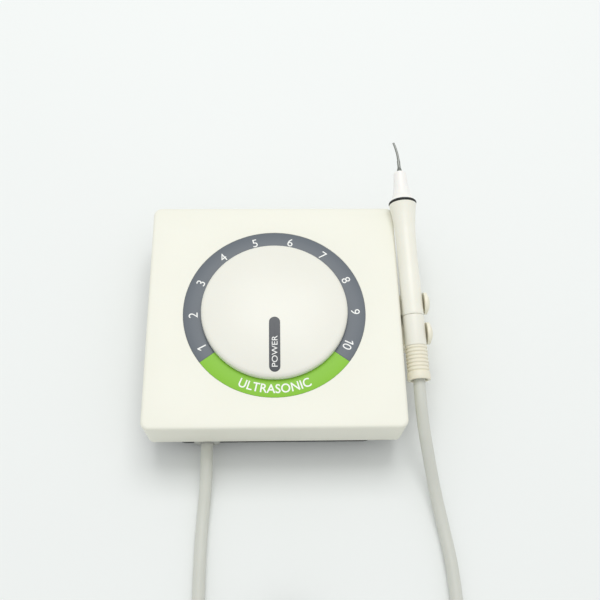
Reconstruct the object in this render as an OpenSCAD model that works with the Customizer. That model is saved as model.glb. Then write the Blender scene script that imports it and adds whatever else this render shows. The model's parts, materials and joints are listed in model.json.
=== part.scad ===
// Ultrasonic scaler: a desk unit with one large power dial, and a handpiece on a hose
// that lies in a two-lobed holder on the unit's right side.
// Millimetres. +Z up, front towards -Y, the unit stands on the plane Z = 0.

/* [Casing] */
// Width of the casing, left to right
case_w = 180; // [150:1:220]
// Depth of the casing, front to back
case_d = 173.5; // [150:0.5:220]
// Height of the top cover, from its lower lip to the dial panel
cover_h = 32; // [28:0.5:42]
// Height of the base below the cover's lip
base_h = 15; // [15:0.5:24]
// Wall of the top cover
wall = 2.5; // [2:0.1:3]
// Plan radius of the casing's corners
corner_r = 6; // [5:0.5:12]
// How far each side wall leans in from the panel to its lower lip
draft = 1.3; // [1:0.1:3]
// Radius along the panel's edge
edge_r = 1.8; // [1:0.1:2.4]
// How far the base's side walls stand in from the panel's sides
base_inset = 18.5; // [16:0.5:24]
// How far the base's front and rear walls stand in from the panel's edge
base_set_back = 5.3; // [4.5:0.1:12]
// Wall and floor of the base
base_wall = 2.5; // [2:0.1:3]
// Height of the rubber feet
foot_h = 3; // [2:0.5:5]
// Radius of the rubber feet
foot_r = 7; // [5:0.5:9]

/* [Dial] */
// Outer radius of the scale ring round the knob
ring_r = 64.7; // [58:0.1:72]
// Radius of the knob
knob_r = 52; // [43:0.5:56]
// Thickness of the scale ring
ring_t = 1.2; // [0.8:0.1:1.6]
// Height of the knob's rim above the panel
knob_rim = 5; // [3:0.1:6]
// Rise of the knob's crown above its rim
knob_crown = 5; // [3.5:0.1:8]
// Width of the pointer bar in the knob
pointer_w = 7.7; // [5:0.1:9]
// Length of the pointer bar in the knob
pointer_len = 39.5; // [30:0.5:42]
// Angle from the front to each end of the coloured segment
band_half_angle = 53.3; // [40:0.1:60]
// Radius of the dial shaft
shaft_r = 3; // [2.5:0.1:3.5]

/* [Handpiece] */
// Radius of the rear body, at the parting line
hand_r = 7.7; // [7:0.1:9.5]
// Radius of the sleeve at its waist
waist_r = 7.25; // [6:0.05:8]
// Radius of the sleeve's flared front
flare_r = 10.1; // [9:0.1:12]
// Length of the front sleeve
sleeve_len = 87; // [75:0.5:105]
// Length of the connector shell behind the parting line
shell_len = 22.5; // [18:0.5:26]
// Length of the ribbed grip
rib_len = 18.5; // [14:0.5:24]
// Number of ribs on the grip
rib_count = 7; // [5:1:9]
// Length of the smooth collar at the hose end
collar_len = 6; // [4:0.5:9]
// Radius of the collar's mouth
collar_r = 8.2; // [7.5:0.1:10]
// Length of the nose cone
cone_len = 24.4; // [19:0.1:27]
// Length of the scaling tip in front of the nose cone
tip_len = 25.3; // [22:0.1:30]
// Nose-up tilt of the stored handpiece, in degrees
hand_tilt = 8.5; // [4:0.1:12]
// Lean of the stored handpiece's nose towards the unit, in degrees
hand_yaw = 2.1; // [0:0.1:3]
// Space between the casing's side and the handpiece, at the upper lobe of the holder
hand_clear = 1.3; // [1.2:0.1:5]
// Distance from the casing's front edge back to the collar's mouth
hand_back = 38.2; // [25:0.1:60]
// Depth of the collar's mouth below the dial panel
hand_drop = 12.3; // [10:0.1:16]
// Radius of the transducer inside the sleeve
horn_r = 4.2; // [3.5:0.1:4.6]

/* [Holder] */
// Radius of each round lobe of the holder, seen from the side
lobe_r = 8; // [7:0.1:10]
// Distance between the two lobes
lobe_pitch = 22.5; // [20:0.1:26]
// Distance from the collar's mouth to the lower lobe's middle
lobe_from = 34.5; // [30:0.1:40]
// Slit between the saddle and the outer ear
ear_slit = 0.6; // [0.5:0.1:2]
// Thickness of the outer ear at its crown
ear_t = 4.6; // [4:0.1:7]
// Thickness of the saddle on the casing's side
inner_t = 0.7; // [0.6:0.1:0.8]

/* [Hose and connections] */
// Outside diameter of the hose
hose_d = 8.5; // [7:0.1:10]
// Distance from the casing's middle to the hose gland, to the left
gland_x = 48; // [30:0.5:52]
// Radius of the water inlet's spigot
inlet_r = 3; // [2.5:0.1:4]
// Length of the water inlet's spigot
inlet_len = 12; // [8:0.5:16]
// Radius of the foot-switch socket's bore
socket_r = 4; // [3:0.1:4.5]
// Depth of the foot-switch socket's bore
socket_depth = 8; // [6:0.5:10]

/* [Fits] */
// Clearance between pieces that are laid or slid together
gap = 0.3; // [0.2:0.05:0.4]
// Radial clearance of a turning shaft
run_fit = 0.05; // [0.02:0.01:0.1]

/* [Hidden] */
$fn = 64;

// Colours
ivory = [0.96, 0.96, 0.93];
cream = [0.92, 0.9, 0.82];
slate = [0.46, 0.5, 0.53];
lime = [0.5, 0.75, 0.2];
hose_grey = [0.78, 0.78, 0.75];
charcoal = [0.16, 0.16, 0.17];
steel = [0.72, 0.73, 0.74];

// Heights
cover_z = foot_h + base_h;
unit_h = cover_z + cover_h;
base_top = cover_z + gap;
flange_t = 3;
flange_top = base_top + flange_t;
floor_z = foot_h + base_wall;
panel_t = 3;
ceiling_z = unit_h - panel_t;

// Plan sizes
half_w = case_w / 2;
half_d = case_d / 2;
lip_in = draft + wall + gap;
base_w = case_w - 2 * base_inset;
base_d = case_d - 2 * max(base_set_back, lip_in);
flange_w = case_w - 2 * lip_in;
flange_d = case_d - 2 * lip_in;
flange_corner = max(corner_r - lip_in, 1);
base_corner = 8;
boss_r = 4.5;
boss_x = (base_w + flange_w) / 4;
boss_y = flange_d / 2 - 14;
screw_r = 1.5;
pilot_r = 1.3;
screw_head_r = 2.8;
screw_head_h = 1.8;
screw_len = 12;

// Dial
ring_in = knob_r - 3;
well_r = 12;
well_depth = 5;
well_floor = unit_h - well_depth;
bush_r = 4.5;
bush_h = 4.5;
nut_h = 2;
knob_gap = 0.4;
knob_shell = 2.5;
knob_top = unit_h + knob_rim + knob_crown;
crown_r = (pow(knob_r, 2) + pow(knob_crown, 2)) / (2 * knob_crown);
crown_z = knob_top - crown_r;
pointer_depth = 1;
pointer_proud = 0.25;
pointer_in = knob_r - pointer_len - 3.6;
hub_r = 6;
hub_z = well_floor + 3;
shaft_top = unit_h + knob_rim + 1;
pot_r = 12;
pot_h = 9;
pot_top = well_floor - panel_t;

// Handpiece stations along its axis, from the collar's mouth
rib_s = collar_len;
shell_s = rib_s + rib_len;
part_s = shell_s + shell_len;
part_gap = 0.3;
sleeve_s = part_s + part_gap;
sleeve_end = sleeve_s + sleeve_len;
ring_wire = 1.2;
cone_s = sleeve_end + 2 * ring_wire;
cone_end = cone_s + cone_len;
tip_end = cone_end + tip_len;
hand_bore = horn_r + 0.4;
core_len = 20;
core_r = hand_bore - gap;
hose_bore = hose_d / 2 + 1.6;
hose_in = collar_len - 0.6;
lean_x = (lobe_from + lobe_pitch + lobe_r) * sin(hand_yaw) * cos(hand_tilt);
hand_x = half_w + hand_clear + hand_r + lean_x;
hand_y = hand_back - half_d;
hand_z = unit_h - hand_drop;

// Transducer stations
insert_s = sleeve_s + core_len + 1.5;
insert_len = 6;
mass_s = insert_s + insert_len + 2;
mass_len = 15;
piezo_s = mass_s + mass_len;
piezo_t = 2.5;
piezo_count = 4;
horn_s = piezo_s + piezo_t * piezo_count;
horn_step_s = sleeve_end - 8;
neck_r = 2.6;
water_r = 0.8;

// Holder
saddle_r = hand_r + gap;
outer_face = saddle_r + ear_slit;
inner_face = saddle_r;
lobe_drop = saddle_r + 2.1 - lobe_r;
bar_drop = saddle_r + 0.6;
bar_t = 6;
bar_end = outer_face + 0.5;
slit_depth = 4.5;
arm_x = half_w + 2.5;
arm_w = 6.5;
arm_y = hand_y + 45;
arm_d = 22;
arm_z = foot_h + 4;
arm_top = hand_z + (arm_y - hand_y) * tan(hand_tilt) - bar_drop - bar_t / 2;
plate_t = 4;
flange_x = base_w / 2;

// Connections on the base's walls
conn_z = foot_h + 8.8;
gland_z = foot_h + 7.6;
rear_y = base_d / 2;
front_y = -base_d / 2;
inlet_x = 26 - gland_x;
foot_x = 8;
power_x = 36;
nut_t = 3;
inside_y = rear_y - base_wall;
gland_r = 5.4;
stub_r = 4.4;
power_r = 4.2;
gland_wide = 7.6;
gland_len = half_d - draft - base_d / 2;
gland_y = front_y - gland_len;

// Whole outline without the hose, for the origin in the middle of it
reach_right = hand_x + outer_face + ear_t - lobe_from * sin(hand_yaw) * cos(hand_tilt);
reach_back = hand_y + tip_end * cos(hand_tilt);
shift_x = (half_w - reach_right) / 2;
shift_y = -(gland_y + reach_back) / 2;

// Hose: it leaves the gland, runs forward on the table, is coiled, and comes back up to the
// handpiece. The third value of a route is a share of the height of the gland or the collar.
hose_r = hose_d / 2;
lie_z = hose_r + 0.05;
coil_x = 56 - gland_x;
coil_y = gland_y - 170.6;
coil_lift = 1;
coil_mid_r = 46;
coil_half_w = 13;
coil_h = 17;
left_route = [
    [0, 0, 1], [0, -10, 0.97], [0, -20, 0.79], [-0.5, -31, 0.4], [-1.5, -45, 0.05],
    [-2.5, -61, 0], [-3, -81, 0], [-3.2, -103, 0], [-3, -125, 0], [-3, -147, 0.03],
    [-3, -163, 0.14]
];
right_route = [
    [0, -0.25, 0.997], [0.5, -17, 0.9], [2.2, -33, 0.725], [5.2, -49, 0.47], [8.4, -65, 0.22],
    [11.4, -81, 0.07], [14.6, -99, 0], [17.2, -119, 0], [18.5, -143, 0], [18.6, -173, 0]
];
coil_route = [[112, -6, 4.3], [102, -30, 4.3], [77, -42, 4.6], [47, -44.5, 8], [17.7, -51.3, 13.5]];
left_points = [
    for (q = left_route) [q[0] - gland_x, q[1] + gland_y, lie_z + q[2] * (gland_z - lie_z)]
];
right_points = concat(
    [for (q = right_route) [q[0] + hand_x, q[1] + hand_y, lie_z + q[2] * (hand_z - lie_z)]],
    [for (q = coil_route) [q[0] + coil_x, q[1] + coil_y, q[2]]]
);
hose_sides = 10;
ring_steps = 3;

// Moves from the unit's own frame, centred under the dial, to the part's frame
module in_frame() {
    translate([shift_x, shift_y, 0])
        children();
}

// The handpiece's own axis: +Z runs from the collar's mouth to the tip, -Y is up
module on_hand() {
    in_frame()
        translate([hand_x, hand_y, hand_z])
            rotate([hand_tilt - 90, 0, hand_yaw])
                children();
}

// A rectangle with round corners, as points
function round_rect(w, d, r, steps = 8) = [
    for (quarter = [0 : 3], i = [0 : steps])
        let (a = quarter * 90 + i * 90 / steps,
             sx = (quarter == 0 || quarter == 3) ? 1 : -1,
             sy = quarter < 2 ? 1 : -1)
            [sx * (w / 2 - r) + r * cos(a), sy * (d / 2 - r) + r * sin(a)]
];

module round_slab(w, d, r, h) {
    linear_extrude(h)
        polygon(round_rect(w, d, r));
}

module at_corners(x, y) {
    for (sx = [-1, 1], sy = [-1, 1])
        translate([sx * x, sy * y, 0])
            children();
}

// A round bar between two stations on Z
module rod(r, z0, z1) {
    translate([0, 0, z0])
        cylinder(r = r, h = z1 - z0);
}

module tube_z(r_out, r_in, z0, z1) {
    difference() {
        rod(r_out, z0, z1);
        rod(r_in, z0 - 1, z1 + 1);
    }
}

// Body with leaning sides: corners of the plan radius, inset by a margin
module leaning_block(inset, z0, z1, top_r) {
    r_top = corner_r - inset;
    r_low = max(r_top - draft, 1);
    corner = concat(
        [[0, z0], [r_low, z0]],
        [for (i = [0 : 6]) [r_top - top_r + top_r * cos(i * 15), z1 - top_r + top_r * sin(i * 15)]],
        [[0, z1]]
    );
    hull()
        at_corners(half_w - corner_r, half_d - corner_r)
            rotate_extrude($fn = 40)
                polygon(corner);
}

// ---- Casing ----

module top_cover() color(ivory) in_frame() {
    difference() {
        union() {
            difference() {
                leaning_block(0, cover_z, unit_h, edge_r);
                leaning_block(wall, cover_z - 1, ceiling_z, 1);
            }
            at_corners(boss_x, boss_y)
                rod(boss_r, flange_top, ceiling_z + 0.5);
            rod(well_r + wall, well_floor - panel_t, ceiling_z + 0.5);
        }
        rod(ring_r + gap / 2, unit_h - ring_t, unit_h + 1);
        rod(well_r, well_floor, unit_h + 1);
        rod(bush_r + gap / 2, well_floor - panel_t - 1, unit_h);
        at_corners(boss_x, boss_y)
            rod(pilot_r, flange_top - 1, flange_top + screw_len);
    }
}

// A hole through the base's front or rear wall, cut forward from a face
module wall_hole(x, y, r, z = conn_z) {
    translate([x, y, z])
        rotate([90, 0, 0])
            rod(r, -1, base_wall + 1);
}

module at_holder_screws() {
    for (sy = [-1, 1])
        translate([flange_x, arm_y + sy * arm_d / 4, conn_z + 3])
            rotate([0, 90, 0])
                children();
}

module base_tray() color(charcoal) in_frame() {
    difference() {
        union() {
            translate([0, 0, foot_h])
                round_slab(base_w, base_d, base_corner, flange_top - foot_h);
            translate([0, 0, base_top])
                round_slab(flange_w, flange_d, flange_corner, flange_t);
        }
        translate([0, 0, floor_z])
            round_slab(base_w - 2 * base_wall, base_d - 2 * base_wall, base_corner - base_wall, unit_h);
        at_corners(boss_x, boss_y) {
            rod(screw_r + gap / 2, base_top - 1, flange_top + 1);
            rod(screw_head_r + gap / 2, base_top - 1, base_top + screw_head_h);
        }
        for (hole = [[water_x, 4], [inlet_x, 4], [foot_x, socket_r + 1.2], [power_x, power_r]])
            wall_hole(hole[0], rear_y, hole[1] + gap / 2);
        wall_hole(water_x, -inside_y, stub_r + gap / 2, gland_z);
        at_holder_screws()
            rod(pilot_r, -base_wall - 1, 1);
    }
}

module rubber_feet() color([0.1, 0.1, 0.1]) in_frame()
    at_corners(base_w / 2 - 2 * foot_r, base_d / 2 - 2 * foot_r)
        rotate_extrude()
            polygon([[0, 0], [foot_r - 1, 0], [foot_r, 1], [foot_r, foot_h], [0, foot_h]]);

module case_screws() color(steel) in_frame()
    at_corners(boss_x, boss_y)
        difference() {
            union() {
                rod(screw_r, base_top + screw_head_h - 0.1, flange_top + screw_len - 2);
                rod(screw_head_r, base_top + 0.1, base_top + screw_head_h);
            }
            translate([-0.4, -screw_head_r, base_top])
                cube([0.8, 2 * screw_head_r, 0.9]);
            translate([-screw_head_r, -0.4, base_top])
                cube([2 * screw_head_r, 0.8, 0.9]);
        }

// ---- Dial ----

// A sector of the given half angle about the front, as a plan outline
module front_sector(half_angle, r) {
    steps = 12;
    polygon(concat([[0, 0]], [
        for (i = [-steps : steps])
            let (a = -90 + half_angle * i / steps)
                [r * cos(a), r * sin(a)]
    ]));
}

module ring_blank() {
    tube_z(ring_r, ring_in, unit_h - ring_t, unit_h);
}

module sector_block(half_angle) {
    translate([0, 0, unit_h - 2 * ring_t])
        linear_extrude(3 * ring_t)
            front_sector(half_angle, 2 * ring_r);
}

module scale_ring() color(slate) in_frame()
    difference() {
        ring_blank();
        sector_block(band_half_angle);
    }

module colour_segment() color(lime) in_frame()
    intersection() {
        ring_blank();
        sector_block(band_half_angle);
    }

// The crown's surface as a profile, raised or sunk by an offset
function crown_profile(offset_z, r) = [
    for (i = [0 : 16])
        let (x = r * i / 16)
            [x, crown_z + offset_z + sqrt(pow(crown_r, 2) - pow(x, 2))]
];

module pointer_prism(margin) {
    hull()
        for (y = [pointer_in + pointer_w / 2, pointer_in + pointer_len - pointer_w / 2])
            translate([0, -y, unit_h])
                cylinder(r = pointer_w / 2 + margin, h = 3 * knob_crown, $fn = 32);
}

module crown_shell(low, high) {
    rotate_extrude()
        polygon(concat(crown_profile(high, knob_r - 1), [
            for (i = [16 : -1 : 0])
                let (x = (knob_r - 1) * i / 16)
                    [x, crown_z + low + sqrt(pow(crown_r, 2) - pow(x, 2))]
        ]));
}

module knob() color(ivory) in_frame()
    difference() {
        union() {
            rotate_extrude()
                polygon(concat(
                    crown_profile(0, knob_r - 2),
                    [[knob_r - 0.5, unit_h + knob_rim - 0.9], [knob_r, unit_h + knob_rim - 2],
                     [knob_r, unit_h + knob_gap], [knob_r - knob_shell, unit_h + knob_gap],
                     [knob_r - knob_shell, unit_h + knob_rim - 2]],
                    [for (i = [16 : -1 : 0])
                        let (x = (knob_r - 2 * knob_shell) * i / 16)
                            [x, crown_z - knob_shell + sqrt(pow(crown_r, 2) - pow(x, 2))]]
                ));
            rod(hub_r, hub_z, knob_top - knob_shell);
        }
        rod(shaft_r, hub_z - 1, shaft_top);
        intersection() {
            pointer_prism(0);
            crown_shell(-pointer_depth, 1);
        }
    }

module knob_pointer() color([0.42, 0.44, 0.45]) in_frame()
    intersection() {
        pointer_prism(0);
        crown_shell(-pointer_depth, pointer_proud);
    }

module pot_body() color([0.3, 0.45, 0.35]) in_frame()
    difference() {
        union() {
            rod(pot_r, pot_top - pot_h, pot_top);
            rod(bush_r, pot_top - 0.1, pot_top + panel_t + nut_h + 0.5);
        }
        rod(shaft_r + run_fit, pot_top - pot_h + 2, unit_h);
    }

module pot_nut() color(steel) in_frame()
    difference() {
        translate([0, 0, well_floor])
            cylinder(r = 7.4, h = nut_h, $fn = 6);
        rod(bush_r, well_floor - 1, unit_h);
    }

module pot_shaft() color(steel) in_frame()
    rod(shaft_r, pot_top - pot_h + 2.2, shaft_top);

// ---- Electronics ----

board_x = 11;
board_w = 96;
board_d = 76;
board_z = floor_z + 4;
board_t = 1.6;
board_top = board_z + board_t;
board_y = -16;

module on_board() {
    in_frame()
        translate([board_x, board_y, 0])
            children();
}

module main_board() color([0.1, 0.4, 0.22]) on_board()
    difference() {
        translate([0, 0, board_z])
            round_slab(board_w, board_d, 2, board_t);
        at_corners(board_w / 2 - 5, board_d / 2 - 5)
            rod(screw_r + gap, board_z - 1, board_top + 1);
    }

module board_pillars() color("goldenrod") on_board()
    at_corners(board_w / 2 - 5, board_d / 2 - 5)
        tube_z(3, pilot_r, floor_z, board_z);

module board_screws() color(steel) on_board()
    at_corners(board_w / 2 - 5, board_d / 2 - 5) {
        rod(pilot_r, floor_z + 0.5, board_top + 0.1);
        rod(2.6, board_top, board_top + 1.6);
    }

module heat_sink() color([0.75, 0.76, 0.78]) on_board() {
    fin_pitch = 5;
    translate([-40, 12, board_top]) {
        cube([32, 20, 3]);
        for (i = [0 : 6])
            translate([i * fin_pitch, 0, 2.9])
                cube([2, 20, 11]);
    }
}

module power_transistors() color([0.13, 0.13, 0.13]) on_board()
    for (i = [0 : 1])
        translate([-38 + i * 15, 5.5, board_top]) {
            cube([10, 4.6, 9]);
            translate([0, 3.4, 8.9])
                cube([10, 1.2, 6]);
        }

module output_transformer() color([0.25, 0.24, 0.24]) on_board()
    translate([18, -10, board_top]) {
        difference() {
            cube([24, 20, 17]);
            translate([5, -1, 4])
                cube([14, 22, 9]);
        }
        translate([9, 1, 3.9])
            cube([6, 18, 9.2]);
    }

module capacitors() color([0.12, 0.16, 0.3]) on_board()
    for (i = [0 : 2])
        translate([-32 + i * 12, -18, 0])
            rod(4.5, board_top, board_top + 14);

module board_connectors() color([0.9, 0.9, 0.86]) on_board() {
    for (x = [-36, 2, 28])
        translate([x, -36, board_top])
            difference() {
                cube([12, 6, 7]);
                translate([1, 1, 1.5])
                    cube([10, 4, 7]);
            }
}

// ---- Water: inlet, needle valve, solenoid valve and gland, joined by stiff pipe ----

water_x = -gland_x;
pipe_r = 2;
needle_d = 26;
needle_w = 12;
needle_y = inside_y - needle_d;
valve_w = 18;
valve_y = needle_y - 18 - valve_w / 2;
valve_z = conn_z - 3.5;
spindle_r = 2;
feed_y = needle_y + 6;
bend_r = 6;

module along_y(x, y, z) {
    in_frame()
        translate([x, y, z])
            rotate([-90, 0, 0])
                children();
}

module solenoid_valve() color("goldenrod") in_frame()
    difference() {
        union() {
            translate([water_x - valve_w / 2, valve_y - valve_w / 2, valve_z])
                cube([valve_w, valve_w, 11]);
            translate([water_x, valve_y, 0])
                rod(4, valve_z + 10.9, valve_z + 26);
        }
        translate([water_x, valve_y, 0])
            rod(2.2, valve_z + 8, valve_z + 22);
    }

module valve_coil() color([0.15, 0.25, 0.45]) in_frame()
    translate([water_x, valve_y, 0])
        difference() {
            union() {
                rod(9, valve_z + 11.1, valve_z + 24);
                translate([-12, -6, valve_z + 12])
                    cube([6, 12, 9]);
            }
            rod(4 + gap / 2, valve_z + 10, valve_z + 25);
        }

module water_regulator() color("goldenrod") {
    in_frame()
        translate([water_x - needle_w / 2, needle_y, conn_z - 4.5])
            difference() {
                cube([needle_w, needle_d, 9]);
                translate([needle_w / 2, needle_d + 1, 4.5])
                    rotate([90, 0, 0])
                        rod(spindle_r + run_fit, 0, 12);
            }
    along_y(water_x, inside_y, conn_z)
        tube_z(4, spindle_r + run_fit, 0, base_wall + 1);
}

module regulator_spindle() color(steel)
    along_y(water_x, inside_y, conn_z)
        rod(spindle_r, -10.5, base_wall + 9.5);

module water_knob() color([0.2, 0.45, 0.75])
    along_y(water_x, rear_y + 1.5, conn_z)
        difference() {
            rod(6, 0, 11);
            rod(spindle_r, -1, 8);
            for (i = [0 : 11])
                rotate([0, 0, i * 30])
                    translate([6.3, 0, 1.5])
                        cylinder(r = 0.7, h = 12, $fn = 16);
        }

module water_inlet() color([0.85, 0.85, 0.86])
    along_y(inlet_x, rear_y, conn_z)
        difference() {
            union() {
                rod(inlet_r, 1.9, 2 + inlet_len);
                rod(5.8, 0, 2);
                rod(4, -base_wall - nut_t - 2, 0.1);
            }
            rod(1.6, -base_wall - nut_t - 3, 3 + inlet_len);
        }

module inlet_nut() color(steel)
    along_y(inlet_x, inside_y - nut_t, conn_z)
        difference() {
            cylinder(r = 5.9, h = nut_t, $fn = 6);
            rod(4, -1, nut_t + 1);
        }

// From the inlet forward, then across to the needle valve's side
module feed_pipe() color([0.6, 0.75, 0.9]) in_frame()
    translate([inlet_x - bend_r, feed_y + bend_r, conn_z]) {
        rotate([0, 0, -90])
            rotate_extrude(angle = 90)
                translate([bend_r, 0])
                    circle(r = pipe_r, $fn = 32);
        translate([bend_r, 0, 0])
            rotate([-90, 0, 0])
                rod(pipe_r, 0, inside_y - nut_t - 2 - feed_y - bend_r);
        translate([0, -bend_r, 0])
            rotate([0, -90, 0])
                rod(pipe_r, 0, inlet_x - bend_r - water_x - needle_w / 2);
    }

module link_pipe() color([0.6, 0.75, 0.9])
    along_y(water_x, valve_y + valve_w / 2, conn_z)
        rod(pipe_r, 0, needle_y - valve_y - valve_w / 2);

module outlet_pipe() color([0.6, 0.75, 0.9])
    along_y(water_x, -inside_y + nut_t + 1, conn_z)
        rod(pipe_r, 0, valve_y - valve_w / 2 + inside_y - nut_t - 1);

module power_socket() color([0.14, 0.14, 0.15]) in_frame()
    translate([power_x, rear_y, conn_z])
        rotate([-90, 0, 0])
            difference() {
                union() {
                    rod(6, 0, 1.6);
                    rod(power_r, -base_wall - 8, 0.1);
                }
                difference() {
                    rod(2.9, -base_wall - 6, 3);
                    rod(1.05, -base_wall - 7, 0.6);
                }
            }

module foot_switch_socket() color([0.2, 0.2, 0.21]) in_frame()
    translate([foot_x, rear_y, conn_z])
        rotate([-90, 0, 0])
            difference() {
                union() {
                    rod(socket_r + 2, 0, 1.6);
                    rod(socket_r + 1.2, 1.6 - socket_depth - 3, 0.1);
                }
                rod(socket_r, 1.6 - socket_depth, 3);
            }

// ---- Hose gland on the front wall ----

module hose_gland() color(cream) in_frame()
    translate([-gland_x, front_y, gland_z])
        rotate([90, 0, 0])
            union() {
                linear_extrude(gland_len - 1.2)
                    polygon(round_rect(2 * gland_r + gland_wide, 2 * gland_r, gland_r - 0.2));
                rod(gland_r - 0.6, gland_len - 1.3, gland_len);
                rod(stub_r, -base_wall - nut_t - 1, 0.1);
            }

module gland_nut() color(steel) in_frame()
    translate([-gland_x, front_y + base_wall, gland_z])
        rotate([-90, 0, 0])
            difference() {
                cylinder(r = 5.7, h = nut_t, $fn = 6);
                rod(stub_r, -1, nut_t + 1);
            }

// ---- Holder ----

// One lobe: a drum across the handpiece with a domed outer end
module lobe_blank() {
    dome_r = (pow(lobe_r, 2) + pow(ear_t - 2, 2)) / (2 * (ear_t - 2));
    translate([0, lobe_drop, 0])
        rotate([0, 90, 0])
            rotate_extrude()
                polygon(concat(
                    [[0, -inner_face - inner_t], [lobe_r - 1, -inner_face - inner_t],
                     [lobe_r, -inner_face - inner_t + 1]],
                    [for (i = [0 : 10])
                        let (x = lobe_r * (1 - i / 10))
                            [x, outer_face + ear_t - dome_r + sqrt(pow(dome_r, 2) - pow(x, 2))]]
                ));
}

module handpiece_holder() color(cream) {
    on_hand()
        difference() {
            union() {
                for (i = [0 : 1])
                    translate([0, 0, lobe_from + i * lobe_pitch])
                        lobe_blank();
                translate([-inner_face - inner_t, bar_drop, lobe_from - 6])
                    cube([inner_face + inner_t + bar_end, bar_t, lobe_pitch + 12]);
            }
            rod(saddle_r, 0, part_s + 40);
            translate([-inner_face - 2 * inner_t, -3 * lobe_r, 0])
                cube([inner_face + 2 * inner_t + outer_face, 3 * lobe_r + slit_depth, part_s + 40]);
        }
    in_frame()
        difference() {
            union() {
                translate([arm_x, arm_y - arm_d / 2, arm_z])
                    cube([arm_w, arm_d, arm_top - arm_z]);
                translate([flange_x, arm_y - arm_d / 2, arm_z])
                    cube([arm_x + arm_w - flange_x, arm_d, plate_t]);
                translate([flange_x, arm_y - arm_d / 2, conn_z - 5])
                    cube([plate_t, arm_d, cover_z - gap - conn_z + 5]);
            }
            at_holder_screws()
                rod(screw_r + gap / 2, -1, plate_t + 1);
        }
}

module holder_screws() color(steel) in_frame()
    at_holder_screws() {
        rod(screw_r, -base_wall - 2, plate_t + 0.1);
        rod(screw_head_r, plate_t, plate_t + screw_head_h);
    }

// ---- Handpiece: connector on the hose ----

module strain_relief() color(cream) on_hand() {
    pitch = rib_len / rib_count;
    groove = 0.7;
    rib_out = hand_r + 0.2;
    difference() {
        rotate_extrude()
            polygon(concat(
                [[0, hose_in + 0.05], [hose_bore, hose_in + 0.05], [hose_bore, 0], [collar_r, 0],
                 [collar_r - 0.3, collar_len]],
                [for (i = [0 : rib_count - 1], step = [0 : 3])
                    [rib_out - (step == 0 || step == 3 ? groove : 0),
                     rib_s + pitch * (i + [0.05, 0.3, 0.75, 0.95][step])]],
                [[hand_r - 0.8, shell_s], [0, shell_s]]
            ));
        rod(2, hose_in - 1, shell_s + 1);
    }
}

module connector_shell() color(cream) on_hand()
    difference() {
        rotate_extrude()
            polygon([[core_r, shell_s], [hand_r - 0.4, shell_s], [hand_r, shell_s + 0.4],
                     [hand_r, part_s - 0.3], [hand_r - 0.3, part_s], [core_r, part_s]]);
        rod(core_r, shell_s - 1, part_s + 1);
    }

module plug_core() color([0.85, 0.85, 0.83]) on_hand()
    difference() {
        union() {
            rod(core_r, shell_s, part_s - 1);
            rod(core_r - 0.4, part_s - 1.1, sleeve_s + core_len - 4);
        }
        rod(1, shell_s - 1, sleeve_s + core_len);
        for (s = [6, 11])
            tube_z(core_r + 1, core_r - 1.1, sleeve_s + s - 0.8, sleeve_s + s + 0.8);
        for (a = [0, 180])
            rotate([0, 0, a])
                translate([2.4, 0, 0])
                    rod(0.5, sleeve_s, sleeve_s + core_len);
    }

module plug_seals() color([0.12, 0.12, 0.12]) on_hand()
    for (s = [6, 11])
        translate([0, 0, sleeve_s + s])
            rotate_extrude()
                translate([core_r - 0.4, 0])
                    circle(r = 0.6, $fn = 24);

module contact_pins() color("gold") on_hand()
    for (a = [0, 180])
        rotate([0, 0, a])
            translate([2.4, 0, 0])
                rod(0.5, sleeve_s, insert_s + insert_len - 1.5);

// ---- Handpiece: the part that pulls off ----

// Outer radius of the sleeve at a share of its length
function sleeve_r(t) = t < 0.5
    ? hand_r - (hand_r - waist_r) * lookup(t, [
        [0, 0.2], [0.04, 0], [0.15, 0], [0.3, 0.3], [0.4, 0.75], [0.5, 1]
    ])
    : waist_r + (flare_r - waist_r) * lookup(t, [
        [0.5, 0], [0.6, 0.02], [0.7, 0.09], [0.78, 0.18], [0.85, 0.36], [0.92, 0.6], [1, 1]
    ]);

module front_sleeve() color(ivory) on_hand()
    rotate_extrude()
        polygon(concat(
            [[hand_bore, sleeve_s]],
            [for (i = [0 : 24]) [sleeve_r(i / 24), sleeve_s + sleeve_len * i / 24]],
            [[horn_r + 2.2, sleeve_end], [horn_r + 2.2, sleeve_end - 6], [hand_bore, sleeve_end - 8]]
        ));

module socket_insert() color([0.3, 0.3, 0.32]) on_hand()
    difference() {
        rod(hand_bore, insert_s, insert_s + insert_len);
        rod(1, insert_s - 1, insert_s + insert_len + 1);
        for (a = [0, 180])
            rotate([0, 0, a])
                translate([2.4, 0, 0])
                    rod(0.6, insert_s - 1, insert_s + insert_len + 1);
    }

module nose_ring() color([0.06, 0.06, 0.06]) on_hand()
    translate([0, 0, sleeve_end + ring_wire])
        rotate_extrude()
            translate([flare_r - ring_wire + 0.3, 0])
                circle(r = ring_wire, $fn = 32);

module nose_cone() color([0.98, 0.97, 0.94]) on_hand()
    rotate_extrude()
        polygon([
            [horn_r + gap, sleeve_end - 5], [horn_r + 2.1, sleeve_end - 5],
            [horn_r + 2.1, sleeve_end + 0.05],
            [flare_r - 2 * ring_wire + 0.3, sleeve_end + 0.05], [flare_r - 2 * ring_wire + 0.3, cone_s],
            [flare_r - 0.7, cone_s], [flare_r - 1.3, cone_s + 1], [flare_r - 2.6, cone_s + 3],
            [flare_r - 3.5, cone_s + 6.5], [flare_r - 4.3, cone_s + 11], [flare_r - 5, cone_s + 17],
            [flare_r - 5.4, cone_end - 0.6], [flare_r - 6, cone_end],
            [neck_r + gap, cone_end], [neck_r + gap, cone_s + 8], [horn_r + gap, cone_s + 2]
        ]);

// ---- Handpiece: the vibrating stack ----

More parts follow.
